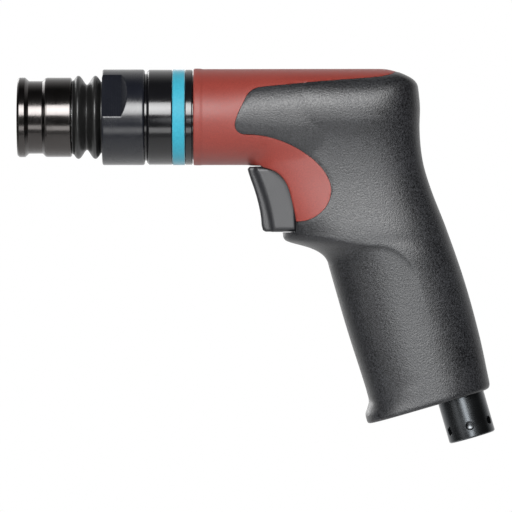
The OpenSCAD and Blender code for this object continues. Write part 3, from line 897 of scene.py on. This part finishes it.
by_slot = {"red_composite": red, "black_elastomer": black, "aluminium": alu, "black_steel": gloss_black,
           "cyan_plastic": cyan, "blue_black_metal": blue_black, "bright_steel": bright,
           "burnished_steel": burnished, "spring_steel": wire, "ball_steel": ball, "black_rubber": rubber,
           "trigger_plastic": grey, "brass": brass, "felt": felt}


def finish_piece(ob, shade, body, slot, *nodes):
    ob.data.materials.clear()
    ob.data.materials.append(shade.m)
    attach(ob, body)
    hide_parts(*nodes)


finish_piece(housing, red, "body", "red_composite", "housing")
finish_piece(grip, black, "body", "black_elastomer", "grip")
finish_piece(trigger, grey, "trigger", "trigger_plastic", "trigger")
finish_piece(sleeve, burnished, "sleeve", "burnished_steel", "retainer_sleeve")
finish_piece(bellows, rubber, "body", "black_rubber", "bellows")
finish_piece(barrel, gloss_black, "body", "black_steel", "barrel")
finish_piece(ring, cyan, "body", "cyan_plastic", "color_ring")
finish_piece(nut, gloss_black, "body", "black_steel", "lock_nut")
finish_piece(cap, blue_black, "body", "blue_black_metal", "front_cap")
finish_piece(inlet, bushing_black, "body", "black_steel", "inlet_bushing")
finish_piece(spring, wire, "body", "spring_steel", "retainer_spring")
finish_piece(throttle_spring, wire, "body", "spring_steel", "throttle_spring")
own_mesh(bellows)
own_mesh(spring)
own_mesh(throttle_spring)

slots = {s["node"]: s["material_slot"] for s in frame["record"]["subparts"]}
for node, ob in frame["nodes"].items():
    shade = by_slot[slots[node]]
    for s in ob.material_slots:
        s.material = shade.m
    if not ob.material_slots:
        ob.data.materials.append(shade.m)

# ---------------------------------------------------------------- floor, light, camera
# the floor is a small disc well below the tool
FLOOR_Z = -0.40
FLOOR_R = 0.34
FLOOR_X = 0.08
# the middle of the picture on the tool, the camera's distance, and the height it sees there
CENTRE = ((95.45 + NOSE) * MM, 0, -55.6 * MM)
DIST = 2.6
VIEW_HEIGHT = 0.2051
SENSOR = 36.0
ROLL = math.radians(0.05)


def make_floor():
    n = 64
    a = angles(n)
    edge = np.stack([np.cos(a), np.sin(a), 0 * a], 1) * FLOOR_R
    points = np.concatenate([[[0, 0, 0]], edge]) + [FLOOR_X, 0, FLOOR_Z]
    me = bpy.data.meshes.new("floor")
    me.from_pydata([tuple(p) for p in points], [], [(0, i + 1, (i + 1) % n + 1) for i in range(n)])
    floor = bpy.data.objects.new("floor", me)
    bpy.context.collection.objects.link(floor)
    pale = Shade("floor_pale")
    pale.colour(pale.ramp(pale.noise(6.0, 2.0), [(0.3, (0.90, 0.90, 0.90)), (0.7, (0.93, 0.93, 0.93))]))
    pale.set(Roughness=0.9)
    me.materials.append(pale.m)


def make_world():
    """White to camera rays; to all others a sky that is brighter behind the tool and below it."""
    world = bpy.data.worlds.new("studio")
    bpy.context.scene.world = world
    world.use_nodes = True
    nodes, links = world.node_tree.nodes, world.node_tree.links
    lit = nodes["Background"]
    lit.inputs["Strength"].default_value = 1.0
    aim = nodes.new("ShaderNodeSeparateXYZ")
    links.new(nodes.new("ShaderNodeTexCoord").outputs["Generated"], aim.inputs[0])

    def grade(src, a, b, lo, hi):
        n = nodes.new("ShaderNodeMapRange")
        n.interpolation_type = "SMOOTHSTEP"
        for k, v in (("From Min", a), ("From Max", b), ("To Min", lo), ("To Max", hi)):
            n.inputs[k].default_value = v
        links.new(src, n.inputs["Value"])
        return n.outputs["Result"]

    total = nodes.new("ShaderNodeMix")
    links.new(grade(aim.outputs["Z"], -0.75, -0.15, 0.0, 1.0), total.inputs["Factor"])
    links.new(grade(aim.outputs["Y"], -0.1, 0.65, 0.40, 1.05), total.inputs["A"])
    links.new(grade(aim.outputs["Y"], -0.05, 0.75, 0.06, 0.95), total.inputs["B"])
    links.new(total.outputs["Result"], lit.inputs["Color"])
    seen = nodes.new("ShaderNodeBackground")
    seen.inputs["Color"].default_value = (1, 1, 1, 1)
    seen.inputs["Strength"].default_value = 1.0
    mixer = nodes.new("ShaderNodeMixShader")
    links.new(nodes.new("ShaderNodeLightPath").outputs["Is Camera Ray"], mixer.inputs["Fac"])
    links.new(lit.outputs[0], mixer.inputs[1])
    links.new(seen.outputs[0], mixer.inputs[2])
    links.new(mixer.outputs[0], nodes["World Output"].inputs["Surface"])


def emitter(name, at, target, size, power, spread, colour=(1, 1, 1)):
    """A rectangular light: place, target and size in metres, power in watts, spread in degrees."""
    d = bpy.data.lights.new(name, "AREA")
    d.energy, d.color = power, colour
    d.shape = "RECTANGLE"
    d.size, d.size_y = size
    d.spread = math.radians(spread)
    ob = bpy.data.objects.new(name, d)
    bpy.context.collection.objects.link(ob)
    ob.location = at
    ob.rotation_euler = (Vector(target) - Vector(at)).to_track_quat("-Z", "Y").to_euler()
    return ob


def make_lights():
    emitter("key", (-0.01, -1.0, 0.36), (0.06, 0, -0.02), (1.0, 0.56), 4.4, 70)
    emitter("fill_low", (0.05, -0.60, -0.38), (0.06, 0, -0.02), (0.65, 0.16), 0.15, 70)
    front = emitter("front", (0.142, -0.42, -0.094), (0.142, 0, -0.094), (0.20, 0.13), 0.024, 34,
                    (0.95, 0.98, 1.0))
    front.visible_camera = False
    emitter("fill_left", (-0.62, -0.72, -0.14), (0.12, 0, -0.08), (0.5, 0.4), 0.16, 70)
    emitter("fill_back", (-0.70, 0.95, 0.25), (0.08, 0, -0.05), (1.0, 0.9), 1.7, 80)
    rear = emitter("rear", (0.05, 1.1, 0.55), (0.08, 0.45, -0.4), (1.2, 0.5), 2.6, 80)
    rear.visible_glossy = False


def make_camera():
    cam = bpy.data.cameras.new("view")
    cam.sensor_width = SENSOR
    cam.lens = SENSOR * DIST / VIEW_HEIGHT
    cam.clip_end = 20
    camera = bpy.data.objects.new("view", cam)
    bpy.context.collection.objects.link(camera)
    camera.location = (CENTRE[0], -DIST, CENTRE[2])
    camera.rotation_euler = (math.pi / 2, ROLL, 0)
    bpy.context.scene.camera = camera


make_floor()
make_world()
make_lights()
make_camera()
bpy.context.scene.view_settings.view_transform = "Standard"
